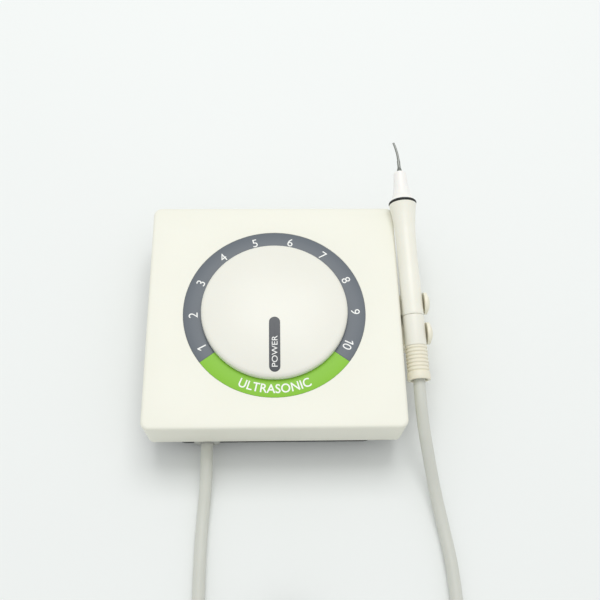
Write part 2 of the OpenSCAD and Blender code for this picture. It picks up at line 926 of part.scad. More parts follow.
module horn() color([0.62, 0.62, 0.64]) on_hand()
    difference() {
        union() {
            rod(horn_r, horn_s, horn_step_s);
            rod(horn_r - 0.6, horn_step_s - 0.1, cone_s + 1);
            rod(neck_r - 0.2, cone_s + 0.9, cone_end - 0.9);
        }
        rod(1.5, horn_s - 1, horn_s + 10);
        rod(water_r, horn_s, cone_end);
    }

module piezo_rings() color([0.85, 0.83, 0.75]) on_hand()
    for (i = [0 : piezo_count - 1])
        tube_z(horn_r - 0.1, 1.7, piezo_s + i * piezo_t + 0.05, piezo_s + (i + 1) * piezo_t - 0.05);

module back_mass() color([0.55, 0.55, 0.57]) on_hand()
    tube_z(horn_r, 1.7, mass_s, piezo_s);

module clamp_bolt() color(steel) on_hand()
    difference() {
        union() {
            rod(1.5, mass_s - 0.1, horn_s + 9.5);
            rod(3, mass_s - 1.4, mass_s);
        }
        rod(water_r, mass_s - 2, horn_s + 10);
    }

// The tip: a hexagonal foot screwed to the horn, and a bent, tapered steel point
tip_foot = 4;
tip_bend = 2.6;
tip_reach = tip_len - tip_foot + 0.1;
tip_route = [
    [0, 0], [0, 0.14], [0, 0.275], [0, 0.285], [0.04, 0.37], [0.13, 0.51], [0.31, 0.65],
    [0.58, 0.82], [1, 1]
];
tip_points = [for (q = tip_route) [-tip_bend * q[0], 0, tip_reach * q[1]]];
tip_radii = [1.2, 1.2, 1.2, 0.95, 0.95, 0.92, 0.88, 0.84, 0.78];

module scaling_tip() color(steel) on_hand() {
    difference() {
        union() {
            rod(2, cone_end - 0.9, cone_end + 0.8);
            translate([0, 0, cone_end + 0.7])
                cylinder(r1 = 2.2, r2 = 1.3, h = tip_foot - 0.7);
        }
        rod(water_r, cone_end - 2, cone_end + 2);
    }
    translate([0, 0, cone_end + tip_foot - 0.1])
        swept(tip_points, tip_radii, 12);
}

// ---- Hose ----

// A closed tube of round rings swept along points
function unit_of(v) = v / norm(v);
function side_of(d) = unit_of(cross(d, norm(cross(d, [0, 0, 1])) > 0.2 ? [0, 0, 1] : [0, 1, 0]));
function way_at(p, i) = unit_of(p[min(i + 1, len(p) - 1)] - p[max(i - 1, 0)]);

module swept(p, radii, sides) {
    rings = [
        for (i = [0 : len(p) - 1])
            let (d = way_at(p, i), s = side_of(d), u = cross(s, d))
                for (k = [0 : sides - 1])
                    p[i] + radii[i] * (s * cos(k * 360 / sides) + u * sin(k * 360 / sides))
    ];
    last = (len(p) - 1) * sides;
    walls = [
        for (i = [0 : len(p) - 2], k = [0 : sides - 1])
            let (a = i * sides + k, b = i * sides + (k + 1) % sides)
                each [[a, b, b + sides], [a, b + sides, a + sides]]
    ];
    caps = [
        for (k = [1 : sides - 2])
            each [[0, k + 1, k], [last, last + k, last + k + 1]]
    ];
    polyhedron(points = rings, faces = concat(walls, caps));
}

// Smooth points between the chosen ones, by a Catmull-Rom curve
function between(a, b, c, d, t) = 0.5 * (
    2 * b + (c - a) * t + (2 * a - 5 * b + 4 * c - d) * pow(t, 2)
    + (3 * b - a - 3 * c + d) * pow(t, 3)
);
function smooth(p) = concat([
    for (i = [0 : len(p) - 2], k = [0 : ring_steps - 1])
        between(p[max(i - 1, 0)], p[i], p[i + 1], p[min(i + 2, len(p) - 1)], k / ring_steps)
], [p[len(p) - 1]]);

module hose_run(points) {
    route = smooth(points);
    swept(route, [for (q = route) hose_r], hose_sides);
}

module hose_left() color(hose_grey) in_frame()
    hose_run(left_points);

module hose_right() color(hose_grey) in_frame()
    hose_run(right_points);

module hose_coil() color(hose_grey) in_frame()
    translate([coil_x, coil_y, coil_lift])
        rotate_extrude()
            translate([coil_mid_r, 0])
                polygon([
                    [-coil_half_w, 2], [-coil_half_w + 2, 0], [coil_half_w - 2, 0], [coil_half_w, 2],
                    [coil_half_w, coil_h - 6], [coil_half_w - 6, coil_h],
                    [-coil_half_w + 4, coil_h], [-coil_half_w, coil_h - 4]
                ]);

module hose_tie() color([0.1, 0.1, 0.1]) in_frame() {
    tie_w = 12;
    tie_t = 1;
    translate([coil_x, coil_y + coil_mid_r, 0])
        difference() {
            translate([-tie_w / 2, -coil_half_w - tie_t - 0.5, 0])
                cube([tie_w, 2 * (coil_half_w + tie_t) + 0.5, coil_h + coil_lift + tie_t]);
            translate([-tie_w, -coil_half_w - 0.5, coil_lift])
                cube([2 * tie_w, 2 * coil_half_w + 0.5, coil_h]);
        }
}

module hose_end() color(hose_grey) on_hand()
    rod(hose_r, 0.1, hose_in);

top_cover();
base_tray();
rubber_feet();
case_screws();
scale_ring();
colour_segment();
knob();
knob_pointer();
pot_body();
pot_nut();
pot_shaft();
main_board();
board_pillars();
board_screws();
heat_sink();
power_transistors();
output_transformer();
capacitors();
board_connectors();
solenoid_valve();
valve_coil();
water_regulator();
regulator_spindle();
water_knob();
water_inlet();
inlet_nut();
feed_pipe();
link_pipe();
outlet_pipe();
power_socket();
foot_switch_socket();
hose_gland();
gland_nut();
handpiece_holder();
holder_screws();
strain_relief();
connector_shell();
plug_core();
plug_seals();
contact_pins();
front_sleeve();
socket_insert();
nose_ring();
nose_cone();
scaling_tip();
horn();
piezo_rings();
back_mass();
clamp_bolt();
hose_left();
hose_coil();
hose_right();
hose_end();
hose_tie();
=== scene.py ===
import json
import math

import bmesh
import bpy
from mathutils import Matrix, Vector


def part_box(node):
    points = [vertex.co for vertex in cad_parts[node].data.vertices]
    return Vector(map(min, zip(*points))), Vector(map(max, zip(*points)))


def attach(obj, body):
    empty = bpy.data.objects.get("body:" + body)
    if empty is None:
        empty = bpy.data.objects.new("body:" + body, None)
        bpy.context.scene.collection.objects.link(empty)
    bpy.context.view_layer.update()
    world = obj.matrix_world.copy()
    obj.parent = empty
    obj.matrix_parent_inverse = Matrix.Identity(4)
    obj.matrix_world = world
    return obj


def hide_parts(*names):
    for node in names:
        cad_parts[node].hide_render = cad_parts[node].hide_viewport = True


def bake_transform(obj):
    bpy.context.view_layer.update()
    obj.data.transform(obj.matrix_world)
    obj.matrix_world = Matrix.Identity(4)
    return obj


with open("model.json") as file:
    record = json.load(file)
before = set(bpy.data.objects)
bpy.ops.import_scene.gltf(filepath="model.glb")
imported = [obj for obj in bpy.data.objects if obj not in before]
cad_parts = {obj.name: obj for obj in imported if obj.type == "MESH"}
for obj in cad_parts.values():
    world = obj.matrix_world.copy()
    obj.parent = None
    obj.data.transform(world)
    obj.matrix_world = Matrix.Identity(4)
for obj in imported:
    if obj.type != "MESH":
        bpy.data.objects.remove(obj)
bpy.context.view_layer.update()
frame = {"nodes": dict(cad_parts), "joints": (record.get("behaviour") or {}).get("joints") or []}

# ---- Camera, light and table -------------------------------------------------------------
# The unit stands on a pale, seamless table under one large soft light above and behind it,
# with an even white surround. The camera looks down from the front at about 63 degrees.

MM = 0.001
cover_low, cover_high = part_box("top_cover")
dial = Vector(((cover_low.x + cover_high.x) / 2, (cover_low.y + cover_high.y) / 2, cover_high.z))
PANEL_H = 50.0


def at(x, y, z):
    """A point in millimetres, from the dial's centre across and from the table up."""
    return Vector((dial.x + x * MM, dial.y + y * MM, dial.z + (z - PANEL_H) * MM))


def srgb(code):
    """A colour written as sRGB hex, as linear light."""
    parts = [int(code[i:i + 2], 16) / 255 for i in (0, 2, 4)]
    return [c / 12.92 if c <= 0.04045 else ((c + 0.055) / 1.055) ** 2.4 for c in parts] + [1.0]


def add(tree, kind, inputs=None, **settings):
    """One shader node, with its settings, and its inputs as values or as other nodes' outputs."""
    made = tree.nodes.new("ShaderNode" + kind)
    for name, value in settings.items():
        setattr(made, name, value)
    for name, value in (inputs or {}).items():
        if isinstance(value, bpy.types.NodeSocket):
            tree.links.new(value, made.inputs[name])
        else:
            made.inputs[name].default_value = value
    return made


scene = bpy.context.scene
scene.view_settings.view_transform = "Standard"

elevation, azimuth, roll = math.radians(63.44), math.radians(-3.857), math.radians(3.158)
away = Vector((math.sin(azimuth) * math.cos(elevation),
               -math.cos(azimuth) * math.cos(elevation), math.sin(elevation)))
level = (-away).cross(Vector((0, 0, 1))).normalized()
upward = level.cross(-away)
across = level * math.cos(roll) + upward * math.sin(roll)
above = upward * math.cos(roll) - level * math.sin(roll)
eye = at(18.324, 8.909, PANEL_H) + away * 0.62041
lens = bpy.data.cameras.new("camera")
lens.lens = 51.976
lens.sensor_width = 36
camera = bpy.data.objects.new("camera", lens)
scene.collection.objects.link(camera)
camera.matrix_world = Matrix((
    (across.x, above.x, away.x, eye.x),
    (across.y, above.y, away.y, eye.y),
    (across.z, above.z, away.z, eye.z),
    (0, 0, 0, 1)))
scene.camera = camera

world = bpy.data.worlds.new("surround")
scene.world = world
world.use_nodes = True
world.node_tree.nodes["Background"].inputs["Color"].default_value = srgb("fbfdfc")
world.node_tree.nodes["Background"].inputs["Strength"].default_value = 0.72

soft_light = bpy.data.lights.new("soft_light", "AREA")
soft_light.shape = "RECTANGLE"
soft_light.size = 1.3
soft_light.size_y = 0.9
soft_light.energy = 15.0
light = bpy.data.objects.new("soft_light", soft_light)
scene.collection.objects.link(light)
light.location = at(60, 760, 1900)
light.rotation_euler = (dial - light.location).to_track_quat("-Z", "Y").to_euler()

table_mesh = bpy.data.meshes.new("table")
table_mesh.from_pydata([(-4, -4, 0), (4, -4, 0), (4, 4, 0), (-4, 4, 0)], [], [(0, 1, 2, 3)])
table_finish = bpy.data.materials.new("matt_white_table")
table_finish.use_nodes = True
tree = table_finish.node_tree
shader = tree.nodes["Principled BSDF"]
place = add(tree, "TexCoord")
cloud = add(tree, "TexNoise", {"Vector": place.outputs["Object"], "Scale": 3.0, "Detail": 2.0})
tone = add(tree, "MixRGB", {"Fac": cloud.outputs["Fac"], "Color1": srgb("f3f5f4"), "Color2": srgb("f1f3f2")})
tree.links.new(tone.outputs["Color"], shader.inputs["Base Color"])
shader.inputs["Roughness"].default_value = 0.9
shader.inputs["Specular IOR Level"].default_value = 0.1
table_mesh.materials.append(table_finish)
table = bpy.data.objects.new("table", table_mesh)
scene.collection.objects.link(table)

# ---- Top cover ---------------------------------------------------------------------------
# A moulded ABS shell, 180 x 173.5 mm and 32 mm deep, with leaning sides and a rounded edge.
# The dial's ring lies in a round recess, and a well in its middle takes the control's shaft.


def build(name, points, faces, body, finish, slot=None, stands_for=(), sharp=38):
    """A mesh piece from points in the shared frame, smooth but for its sharp edges."""
    mesh = bpy.data.meshes.new(name)
    mesh.from_pydata([tuple(p) for p in points], [], faces)
    shape = bmesh.new()
    shape.from_mesh(mesh)
    bmesh.ops.remove_doubles(shape, verts=shape.verts, dist=0.004 * MM)
    bmesh.ops.dissolve_degenerate(shape, edges=shape.edges, dist=0.002 * MM)
    bmesh.ops.recalc_face_normals(shape, faces=shape.faces)
    shape.to_mesh(mesh)
    shape.free()
    mesh.shade_smooth()
    mesh.set_sharp_from_angle(angle=math.radians(sharp))
    mesh.materials.append(finish)
    piece = bpy.data.objects.new(name, mesh)
    scene.collection.objects.link(piece)
    if body:
        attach(piece, body)
    if stands_for:
        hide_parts(*stands_for)
    return piece


def skin(loops, ring=False, caps=True):
    """Points and faces of a skin over equal closed loops; ring joins the last loop to the first."""
    n = len(loops[0])
    points = [p for loop in loops for p in loop]
    faces = []
    for i in range(len(loops) if ring else len(loops) - 1):
        j = (i + 1) % len(loops)
        faces += [(i * n + k, i * n + (k + 1) % n, j * n + (k + 1) % n, j * n + k) for k in range(n)]
    if caps and not ring:
        faces += [tuple(range(n)), tuple(len(points) - n + k for k in range(n))]
    return points, faces


def joined(*parts):
    """Several sets of points and faces as one."""
    points, faces = [], []
    for more_points, more_faces in parts:
        faces += [tuple(i + len(points) for i in face) for face in more_faces]
        points += more_points
    return points, faces


def soften(profile, radius, steps=3, closed=True):
    """A profile with its corners rounded off."""
    out = []
    for i, p in enumerate(profile):
        p = Vector(p)
        if not closed and i in (0, len(profile) - 1):
            out.append(p)
            continue
        a, b = Vector(profile[i - 1]) - p, Vector(profile[(i + 1) % len(profile)]) - p
        reach = min(radius, 0.45 * a.length, 0.45 * b.length)
        a, b = p + a.normalized() * reach, p + b.normalized() * reach
        out += [a * (1 - t) ** 2 + p * 2 * t * (1 - t) + b * t * t
                for t in (k / steps for k in range(steps + 1))]
    return out


def lathe(profile, place, steps=96, ring=True):
    """A turned piece: radius and height pairs swept round an axis that place() sets."""
    loops = [[place(r * math.cos(2 * math.pi * k / steps), r * math.sin(2 * math.pi * k / steps), h)
              for k in range(steps)] for r, h in profile]
    return skin(loops, ring=ring, caps=False)


def finish(name, light_tone, dark_tone, patch, roughness, uneven, grain, relief, metallic=0.0,
           ior=1.5, coat=0.0, soft=0.0, stretch=(1, 1, 1)):
    """A surface of two close tones in patches, with uneven gloss and a fine relief. Sizes in mm."""
    made = bpy.data.materials.new(name)
    made.use_nodes = True
    tree = made.node_tree
    shader = tree.nodes["Principled BSDF"]
    place = add(tree, "TexCoord")
    scaled = add(tree, "Mapping", {"Vector": place.outputs["Object"], "Scale": stretch})
    cloud = add(tree, "TexNoise", {"Vector": scaled.outputs["Vector"], "Scale": 1 / (patch * MM),
                                   "Detail": 4.0, "Roughness": 0.55})
    fine = add(tree, "TexNoise", {"Vector": scaled.outputs["Vector"], "Scale": 1 / (grain * MM),
                                  "Detail": 3.0, "Roughness": 0.6})
    tone = add(tree, "MixRGB", {"Fac": cloud.outputs["Fac"], "Color1": srgb(dark_tone),
                                "Color2": srgb(light_tone)})
    gloss = add(tree, "MapRange", {"Value": fine.outputs["Fac"], "From Min": 0.3, "From Max": 0.7,
                                   "To Min": roughness - uneven, "To Max": roughness + uneven})
    bump = add(tree, "Bump", {"Height": fine.outputs["Fac"], "Strength": 0.5,
                              "Distance": relief * MM})
    tree.links.new(tone.outputs["Color"], shader.inputs["Base Color"])
    tree.links.new(gloss.outputs["Result"], shader.inputs["Roughness"])
    tree.links.new(bump.outputs["Normal"], shader.inputs["Normal"])
    shader.inputs["Metallic"].default_value = metallic
    if not metallic:
        shader.inputs["IOR"].default_value = ior
    shader.inputs["Coat Weight"].default_value = coat
    shader.inputs["Coat Roughness"].default_value = 0.2
    shader.inputs["Subsurface Weight"].default_value = soft
    shader.inputs["Subsurface Radius"].default_value = (1.2, 1.0, 0.8)
    shader.inputs["Subsurface Scale"].default_value = 0.6 * MM
    return made


def rounded(half_x, half_y, corner, z, steps=23):
    """A rectangle with round corners, as a loop of points about the dial's centre."""
    loop = []
    for quarter, (sx, sy) in enumerate([(1, 1), (-1, 1), (-1, -1), (1, -1)]):
        for i in range(steps + 1):
            a = math.radians(90 * (quarter + i / steps))
            loop.append(at(sx * (half_x - corner) + corner * math.cos(a),
                           sy * (half_y - corner) + corner * math.sin(a), z))
    return loop


def circle(radius, z, steps=23):
    """A round loop with as many points as a rounded() one."""
    count = 4 * (steps + 1)
    return [at(radius * math.cos(2 * math.pi * (k + 0.5) / count),
               radius * math.sin(2 * math.pi * (k + 0.5) / count), z) for k in range(count)]


HALF_W, HALF_D, CORNER, LIP_Z = 90.0, 86.75, 6.0, 18.0
DRAFT, EDGE_R, WALL, RING_R, RING_T = 1.3, 1.8, 2.5, 64.7, 1.2


def wall_loop(z, inset):
    """A loop round the leaning wall at height z, an inset in from its outer face."""
    lean = DRAFT * (PANEL_H - EDGE_R - z) / (PANEL_H - EDGE_R - LIP_Z) + inset
    return rounded(HALF_W - lean, HALF_D - lean, max(CORNER - lean, 1.0), z)


cover_loops = [wall_loop(LIP_Z + 0.5, WALL), wall_loop(LIP_Z, WALL - 0.4), wall_loop(LIP_Z, 0.5),
               wall_loop(LIP_Z + 0.15, 0.15), wall_loop(LIP_Z + 0.5, 0)]
cover_loops += [wall_loop(LIP_Z + 4 + 5 * i, 0) for i in range(6)]
for i in range(7):
    a = math.radians(15 * i)
    inset = EDGE_R * (1 - math.cos(a))
    cover_loops.append(rounded(HALF_W - inset, HALF_D - inset, CORNER - inset,
                               PANEL_H - EDGE_R + EDGE_R * math.sin(a)))
cover_loops += [
    rounded(HALF_W - 3, HALF_D - 3, CORNER - 3, PANEL_H),
    circle(RING_R + 0.45, PANEL_H), circle(RING_R + 0.25, PANEL_H - 0.06),
    circle(RING_R + 0.15, PANEL_H - 0.25), circle(RING_R + 0.15, PANEL_H - RING_T),
    circle(12.3, PANEL_H - RING_T), circle(12, PANEL_H - RING_T - 0.3), circle(12, PANEL_H - 5),
    circle(4.65, PANEL_H - 5), circle(4.65, PANEL_H - 8), circle(14.5, PANEL_H - 8),
    circle(14.5, PANEL_H - 3.4), circle(14.9, PANEL_H - 3),
    rounded(HALF_W - 4, HALF_D - 4, CORNER - 4, PANEL_H - 3), wall_loop(PANEL_H - 3.8, WALL),
]
bosses = []
BOSS_X, BOSS_Y = 78.7, 68.65
for sx in (-1, 1):
    for sy in (-1, 1):
        bosses.append(lathe(soften([(1.3, 21.3), (4.5, 21.3), (4.5, 47.2), (1.3, 47.2)], 0.3),
                            lambda x, y, z: at(sx * BOSS_X + x, sy * BOSS_Y + y, z), 32))
ivory = finish("ivory_moulded_abs", "f1f0e4", "edecdf", 40, 0.42, 0.05, 0.6, 0.004, soft=0.05)
# Spark-eroded tool finish: a matt, very even skin that only catches light along the rounded edge.
build("cover", *joined(skin(cover_loops, ring=True), *bosses), "unit", ivory, "ivory_abs",
      ["top_cover"])

# ---- Scale ring, its coloured segment and their print --------------------------------------
# Printed polycarbonate film, 1.2 mm thick, glued flush into the recess: grey with the numbers
# 1 to 10 round the sides and back, and green with one word along the front.


def sector(profile, start, end, steps=96):
    """A profile of radius and height pairs swept round the dial from one angle to another."""
    loops = []
    for i in range(steps + 1):
        a = math.radians(start + (end - start) * i / steps)
        loops.append([at(r * math.cos(a), r * math.sin(a), z) for r, z in profile])
    return skin(loops)


BAND_HALF = 53.3
RING_IN = 49.0
film_profile = soften([(RING_IN, PANEL_H - RING_T), (RING_R, PANEL_H - RING_T),
                       (RING_R, PANEL_H), (RING_IN, PANEL_H)], 0.12, 2)
slate = finish("slate_grey_printed_film", "646b73", "5f666e", 30, 0.42, 0.04, 0.5, 0.003)
# Screen-printed satin film: a cool grey with a broad soft reflection.
build("grey_scale_film", *sector(film_profile, -90 + BAND_HALF, 270 - BAND_HALF, 160), "unit",
      slate, "slate_film", ["scale_ring"])
lime = finish("lime_green_printed_film", "8ec93a", "88c434", 30, 0.42, 0.04, 0.5, 0.003, ior=1.38)
# The same film in a strong yellow-green, bright enough to tint the knob's underside.
build("green_scale_film", *sector(film_profile, -90 - BAND_HALF + 0.15, -90 + BAND_HALF - 0.15, 90),
      "unit", lime, "lime_film", ["colour_segment"])
white_print = finish("white_screen_print", "fbfbf8", "f6f7f4", 10, 0.5, 0.05, 0.3, 0.002)
# Opaque white ink, a little raised and matter than the film round it.


def print_flat(name, points, faces, body):
    """A piece of print lying on a surface, with every face turned up."""
    piece = build(name, points, faces, body, white_print, sharp=60)
    shape = bmesh.new()
    shape.from_mesh(piece.data)
    for face in shape.faces:
        if face.normal.z < 0:
            face.normal_flip()
    shape.to_mesh(piece.data)
    shape.free()


def lettering(name, word, cap, along, place, body, bold=0.0):
    """A printed word: cap height and length in mm; place() maps its plane to the surface."""
    text = bpy.data.curves.new(name, "FONT")
    text.body = word
    text.align_x = "CENTER"
    text.offset = bold
    text.resolution_u = 6
    holder = bpy.data.objects.new(name, text)
    scene.collection.objects.link(holder)
    bpy.context.view_layer.update()
    flat = bpy.data.meshes.new_from_object(holder)
    bpy.data.objects.remove(holder)
    xs, ys = [v.co.x for v in flat.vertices], [v.co.y for v in flat.vertices]
    tall = cap / (max(ys) - min(ys))
    wide = along / (max(xs) - min(xs)) if along else tall
    middle = (max(xs) + min(xs)) / 2
    points, faces = [], [tuple(p.vertices) for p in flat.polygons]
    for v in flat.vertices:
        points.append(place((v.co.x - middle) * wide, (v.co.y - min(ys)) * tall))
    bpy.data.meshes.remove(flat)
    print_flat(name, points, faces, body)


NUMBER_R, NUMBER_CAP = 57.6, 6.4
PRINT_H = PANEL_H + 0.06
FIRST_NUMBER, NUMBER_STEP = -151, 26.2
ONE = [(0.25, 0), (1.2, 0), (1.2, 6.4), (0.35, 6.4), (-1.3, 5.2), (-1.3, 4.2), (0.25, 5.3)]
for number in range(1, 11):
    turn = math.radians(FIRST_NUMBER - (number - 1) * NUMBER_STEP)

    def on_ring(x, y, turn=turn, shift=0.0):
        out = NUMBER_R - NUMBER_CAP / 2 + y
        return at(out * math.cos(turn) + (x + shift) * math.sin(turn),
                  out * math.sin(turn) - (x + shift) * math.cos(turn), PRINT_H)

    if number in (1, 10):
        shift = -2.3 if number == 10 else 0.0
        print_flat(f"number_{number}", [on_ring(x, y, shift=shift) for x, y in ONE],
                   [tuple(range(len(ONE)))], "unit")
    if number == 10:
        lettering("number_10_zero", "0", NUMBER_CAP, None,
                  lambda x, y: on_ring(x, y, shift=1.9), "unit")
    elif number > 1:
        lettering(f"number_{number}", str(number), NUMBER_CAP, None, on_ring, "unit")


WORD_R, WORD_CAP, WORD_LEN = 58.5, 6.6, 50


def on_band(x, y):
    """A point of the word, x along the green segment and y towards the knob."""
    turn = -math.pi / 2 + x / WORD_R
    out = WORD_R + WORD_CAP / 2 - y
    return at(out * math.cos(turn), out * math.sin(turn), PRINT_H)


lettering("band_word", "ULTRASONIC", WORD_CAP, WORD_LEN, on_band, "unit", 0.012)

# ---- Knob and pointer ----------------------------------------------------------------------
# One large, low, crowned ABS disc pressed on the control's shaft, with a small rolled rim.
# A grey bar let into its face points to the setting and carries one printed word.

KNOB_R, KNOB_TOP, CROWN_RISE = 52.0, 60.0, 5.0
CROWN_R = (KNOB_R ** 2 + CROWN_RISE ** 2) / (2 * CROWN_RISE)


def crown(r):
    """Height of the knob's face at a radius."""
    return KNOB_TOP - CROWN_R + math.sqrt(CROWN_R ** 2 - r ** 2)


knob_profile = [(48 * i / 16, crown(48 * i / 16)) for i in range(17)]
knob_profile += soften([(48.2, crown(48.2)), (50.2, crown(50.2)), (51.6, 54.2), (52, 52.9),
                        (52, 50.4)], 0.7, 3, closed=False)
knob_profile += [(51.7, 50.4), (49.3, 50.4), (49.3, 53), (47, crown(47) - 2.5)]
knob_profile += [(47 * (1 - i / 8), crown(47 * (1 - i / 8)) - 2.5) for i in range(1, 7)]
knob_profile += [(6.2, crown(6) - 2.5), (6, crown(6) - 2.8), (6, 48.2), (5.8, 48), (3, 48),
                 (3, 56), (0, 56)]
knob_finish = finish("ivory_knob_abs", "efeee5", "ebe9df", 36, 0.36, 0.04, 0.5, 0.003, soft=0.05)
# The same ABS as the cover but better polished, so that the crown shows a soft gradient.
build("knob_disc", *lathe(knob_profile, at, 160, ring=False), "dial", knob_finish, "ivory_abs",
      ["knob"])

POINTER_HALF, POINTER_IN, POINTER_LEN = 3.85, 8.9, 39.5


def stadium(margin, lift):
    """A loop round the pointer's outline, shrunk by a margin and laid on the crown."""
    half = POINTER_HALF - margin
    low, high = -POINTER_IN - POINTER_LEN + POINTER_HALF, -POINTER_IN - POINTER_HALF
    loop = [(half, low + (high - low) * i / 16) for i in range(16)]
    loop += [(half * math.cos(math.pi * i / 12), high + half * math.sin(math.pi * i / 12))
             for i in range(12)]
    loop += [(-half, high + (low - high) * i / 16) for i in range(16)]
    loop += [(-half * math.cos(math.pi * i / 12), low - half * math.sin(math.pi * i / 12))
             for i in range(12)]
    return [at(x, y, crown(math.hypot(x, y)) + lift) for x, y in loop]


pointer_loops = [stadium(0, -0.6), stadium(0, 0.08), stadium(0.08, 0.2), stadium(0.3, 0.25)]
pointer_loops += [stadium(m, 0.25) for m in (1.2, 2.2, 3.2, 3.75)]
pointer_grey = finish("grey_pointer_abs", "4c4f54", "46494e", 14, 0.4, 0.05, 0.4, 0.003)
# A separate moulding in mid grey, satin, with a bright line where its edge stands proud.
build("pointer_bar", *skin(pointer_loops), "dial", pointer_grey, "slate_film", ["knob_pointer"])


def on_pointer(x, y):
    px, py = 2.0 - y, -POINTER_IN - POINTER_LEN + 3.4 + 11 + x
    return at(px, py, crown(math.hypot(px, py)) + 0.31)


lettering("pointer_word", "POWER", 4.0, 22, on_pointer, "dial")

# ---- Base, feet and screws -----------------------------------------------------------------
# A dark ABS tray set in under the cover, on four rubber feet; four screws from below hold the
# cover to it.


def paint(material, slot, *nodes):
    """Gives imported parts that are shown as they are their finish."""
    for name in nodes:
        part = frame["nodes"][name]
        part.data.materials.clear()
        part.data.materials.append(material)


charcoal = finish("charcoal_textured_abs", "2d2e30", "262729", 18, 0.55, 0.08, 0.9, 0.02)
# Leather-grained dark plastic: matt, and only a little lighter where it catches the light.
paint(charcoal, "charcoal_abs", "base_tray", "power_socket", "foot_switch_socket")
rubber = finish("black_moulded_rubber", "1d1d1e", "161617", 8, 0.75, 0.08, 0.4, 0.02)
# Dull black rubber with a faint dusty bloom.
paint(rubber, "black_rubber", "rubber_feet", "plug_seals")
zinc = finish("zinc_plated_steel", "b9bcc0", "a8abb0", 3, 0.32, 0.08, 0.2, 0.003, metallic=1.0)
# Bright zinc plating with a faint blue cast, broken up by fine tool marks.
paint(zinc, "zinc_steel", "case_screws", "pot_nut", "pot_shaft", "board_screws", "holder_screws",
      "gland_nut", "inlet_nut")

# ---- Inside the case: power control and electronics ----------------------------------------
# The control hangs under the well by its nut; the board stands on brass pillars and carries the
# oscillator's power stage: heat sink, two transistors, output transformer and capacitors.

board_green = finish("board_solder_mask", "1f6b41", "185635", 1.2, 0.35, 0.08, 0.3, 0.02, coat=0.4)
# Glossy green solder mask over slightly raised copper tracks.
paint(board_green, "board", "main_board")
brass = finish("turned_brass", "c9a75a", "b8954a", 3, 0.3, 0.08, 0.15, 0.004, metallic=1.0)
# Turned brass, warm yellow, with fine turning lines.
paint(brass, "brass_part", "board_pillars", "solenoid_valve", "water_regulator")
sink_metal = finish("extruded_aluminium", "b7babd", "a9acb0", 4, 0.38, 0.08, 0.2, 0.004,
                    metallic=1.0, stretch=(1, 0.1, 1))
# Natural extruded aluminium, drawn lines along the fins.
paint(sink_metal, "aluminium", "heat_sink", "back_mass")
epoxy = finish("black_moulding_epoxy", "242426", "1b1b1d", 5, 0.5, 0.08, 0.3, 0.01)
# Matt black moulding compound of transistors, the control and the transformer's core.
paint(epoxy, "black_plastic", "power_transistors", "output_transformer", "pot_body", "capacitors")
nylon = finish("natural_white_nylon", "e9e8e1", "dfded6", 6, 0.45, 0.06, 0.4, 0.005, soft=0.1)
# Milky white nylon, a little translucent at its edges.
paint(nylon, "white_plastic", "board_connectors", "plug_core", "socket_insert", "water_inlet")

# ---- Inside the case: water circuit ---------------------------------------------------------
# Water comes in at the rear, passes a needle valve and a solenoid valve, and leaves through the
# hose; stiff clear-blue pipe joins them in one line along the left side.

blue_plastic = finish("blue_moulded_nylon", "2f6fb5", "2863a6", 6, 0.4, 0.06, 0.3, 0.006)
# Saturated blue plastic, semi-gloss, the usual mark of a water control.
paint(blue_plastic, "blue_plastic", "valve_coil")
pipe_blue = finish("pale_blue_polyurethane_pipe", "a8c8e6", "9bbfe0", 8, 0.25, 0.05, 0.5, 0.003,
                   soft=0.2)
# Smooth, slightly milky tube with a sharp highlight along its length.
paint(pipe_blue, "pipe_plastic", "feed_pipe", "link_pipe", "outlet_pipe")
spindle_steel = finish("ground_stainless_steel", "c3c5c8", "b4b6ba", 2, 0.25, 0.06, 0.12, 0.002,
                       metallic=1.0)
# Ground stainless steel, cool grey, brushed round its axis.
paint(spindle_steel, "stainless", "regulator_spindle", "clamp_bolt")

# ---- Water knob ------------------------------------------------------------------------------
# A small blue knob with twelve finger grooves, pressed on the needle valve's spindle at the rear.

knob_low, knob_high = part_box("water_knob")
knob_mid = (knob_low + knob_high) / 2


def on_water(x, z, y):
    """A point about the water knob's axis, which points to the rear."""
    return Vector((knob_mid.x + x * MM, knob_low.y + y * MM, knob_mid.z + z * MM))


WATER_R = 6.0
grip_loops = []
for out, y in [(0.55, 0), (0.85, 0.15), (0.97, 0.6), (1, 1.4), (1, 2.2), (1, 9.6), (0.97, 10.4),
               (0.88, 10.9), (0.6, 11)]:
    loop = []
    for k in range(144):
        a = 2 * math.pi * k / 144
        groove = max(0.0, math.cos(12 * a)) ** 3 * 0.7 if out > 0.9 and y > 1.3 else 0.0
        loop.append(on_water((WATER_R * out - groove) * math.cos(a),
                             (WATER_R * out - groove) * math.sin(a), y))
    grip_loops.append(loop)
build("water_knob_grip", *skin(grip_loops), "water_control", blue_plastic, "blue_plastic",
      ["water_knob"])

# ---- Hose gland and holder ------------------------------------------------------------------
# A grey nylon gland carries the hose out under the front lip. The holder, of cream ABS, is screwed
# to the base's right side and ends in two round lobes that cradle the handpiece from below, each
# with one full ear on its outer side.

cream = finish("cream_moulded_abs", "f4f0df", "efead6", 22, 0.4, 0.05, 0.5, 0.004, soft=0.08)
# A warmer, slightly yellowed plastic next to the ivory case, satin with soft highlights.
paint(cream, "cream_abs", "handpiece_holder")
gland_low, gland_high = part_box("hose_gland")
gland_mid = (gland_low + gland_high) / 2


def on_gland(x, z, y):
    """A point about the gland's axis; y runs from the base's wall to the hose end."""
    return Vector((gland_mid.x + x * MM, gland_low.y + (GLAND_LEN - y) * MM, gland_mid.z + z * MM))


